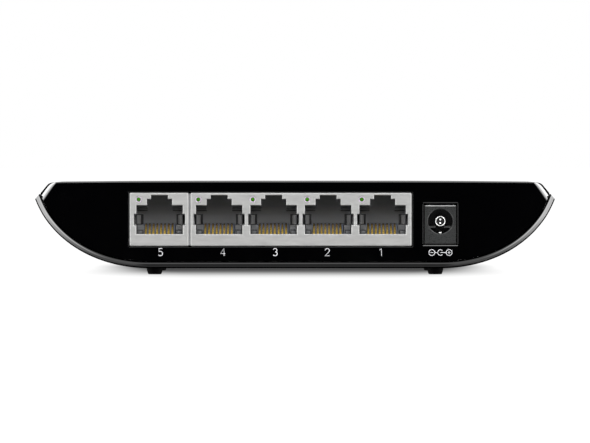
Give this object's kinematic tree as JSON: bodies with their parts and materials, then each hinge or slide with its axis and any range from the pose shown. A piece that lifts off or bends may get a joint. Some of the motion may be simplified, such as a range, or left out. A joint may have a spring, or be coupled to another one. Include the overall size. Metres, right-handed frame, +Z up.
{
  "type": "desktop network switch",
  "caption": "Low desktop network switch: a glossy boat-shaped case on rubber feet, a row of shielded modular jacks and a round power inlet in one side, indicator lamps in the other.",
  "frame": {"origin": "on the surface that the feet stand on, under the centre of the case", "axes": "+Z up, -Y out of the port face, +X to the right as the port face is looked at, along the case's length"},
  "size_m": [0.1334, 0.088, 0.024],
  "materials": {
    "case_plastic": "high gloss, black",
    "foot_rubber": "matt black",
    "shield_metal": "tin-plated sheet, satin",
    "jack_plastic": "moulded, dark grey",
    "contact_gold": "gold-plated spring wire",
    "port_lens": "clear green lamp",
    "inlet_plastic": "moulded, near black",
    "inlet_nickel": "nickel-plated",
    "screw_steel": "zinc-plated",
    "board_laminate": "glass-epoxy with green solder mask",
    "chip_epoxy": "moulded epoxy",
    "sink_aluminium": "plain extruded",
    "pad_silicone": "soft, matt",
    "capacitor_sleeve": "shrink sleeve on a metal can",
    "lamp_resin": "surface-mount lamp",
    "guide_acrylic": "clear moulding",
    "label_film": "blank printed-film label"
  },
  "bodies": {
    "case": {"top_cover": "case_plastic", "bottom_shell": "case_plastic", "foot_rear_left": "foot_rubber", "foot_rear_right": "foot_rubber", "foot_front_left": "foot_rubber", "foot_front_right": "foot_rubber", "single_jack_shield": "shield_metal", "quad_jack_shield": "shield_metal", "crystal": "shield_metal", "single_jack_housing": "jack_plastic", "quad_jack_housing": "jack_plastic", "port_1_led": "port_lens", "port_2_led": "port_lens", "port_3_led": "port_lens", "port_4_led": "port_lens", "port_5_led": "port_lens", "power_inlet_body": "inlet_plastic", "power_inlet_pin": "inlet_nickel", "case_screw_rear_left": "screw_steel", "case_screw_rear_right": "screw_steel", "case_screw_front_left": "screw_steel", "case_screw_front_right": "screw_steel", "board_screw_left": "screw_steel", "board_screw_right": "screw_steel", "circuit_board": "board_laminate", "switch_chip": "chip_epoxy", "voltage_regulator": "chip_epoxy", "power_inductor": "chip_epoxy", "transformer_1": "chip_epoxy", "transformer_2": "chip_epoxy", "transformer_3": "chip_epoxy", "transformer_4": "chip_epoxy", "transformer_5": "chip_epoxy", "heat_sink": "sink_aluminium", "thermal_pad": "pad_silicone", "input_capacitor": "capacitor_sleeve", "output_capacitor": "capacitor_sleeve", "indicator_lamp_power": "lamp_resin", "indicator_lamp_1": "lamp_resin", "indicator_lamp_2": "lamp_resin", "indicator_lamp_3": "lamp_resin", "indicator_lamp_4": "lamp_resin", "indicator_lamp_5": "lamp_resin", "front_light_guide": "guide_acrylic", "rating_label": "label_film"},
    "port_1_contact_row": {"port_1_contacts": "contact_gold"},
    "port_2_contact_row": {"port_2_contacts": "contact_gold"},
    "port_3_contact_row": {"port_3_contacts": "contact_gold"},
    "port_4_contact_row": {"port_4_contacts": "contact_gold"},
    "port_5_contact_row": {"port_5_contacts": "contact_gold"},
    "power_contact_leaf": {"power_inlet_spring": "inlet_nickel"}
  },
  "joints": [
    {"name": "port_1_contact_flex", "type": "hinge", "parent": "case", "child": "port_1_contact_row", "pos_m": [0.02246, -0.0415, 0.0097], "axis": [-1, 0, 0], "range_deg": [0, 6.5], "stiffness_Nm_per_rad": 0.3},
    {"name": "port_2_contact_flex", "type": "hinge", "parent": "case", "child": "port_2_contact_row", "pos_m": [0.00849, -0.0415, 0.0097], "axis": [-1, 0, 0], "range_deg": [0, 6.5], "stiffness_Nm_per_rad": 0.3},
    {"name": "port_3_contact_flex", "type": "hinge", "parent": "case", "child": "port_3_contact_row", "pos_m": [-0.00548, -0.0415, 0.0097], "axis": [-1, 0, 0], "range_deg": [0, 6.5], "stiffness_Nm_per_rad": 0.3},
    {"name": "port_4_contact_flex", "type": "hinge", "parent": "case", "child": "port_4_contact_row", "pos_m": [-0.01945, -0.0415, 0.0097], "axis": [-1, 0, 0], "range_deg": [0, 6.5], "stiffness_Nm_per_rad": 0.3},
    {"name": "port_5_contact_flex", "type": "hinge", "parent": "case", "child": "port_5_contact_row", "pos_m": [-0.03475, -0.0415, 0.0097], "axis": [-1, 0, 0], "range_deg": [0, 6.5], "stiffness_Nm_per_rad": 0.3},
    {"name": "power_contact_flex", "type": "hinge", "parent": "case", "child": "power_contact_leaf", "pos_m": [0.0373, -0.0314, 0.0095], "axis": [1, 0, 0], "range_deg": [0, 4], "stiffness_Nm_per_rad": 0.1}
  ]
}
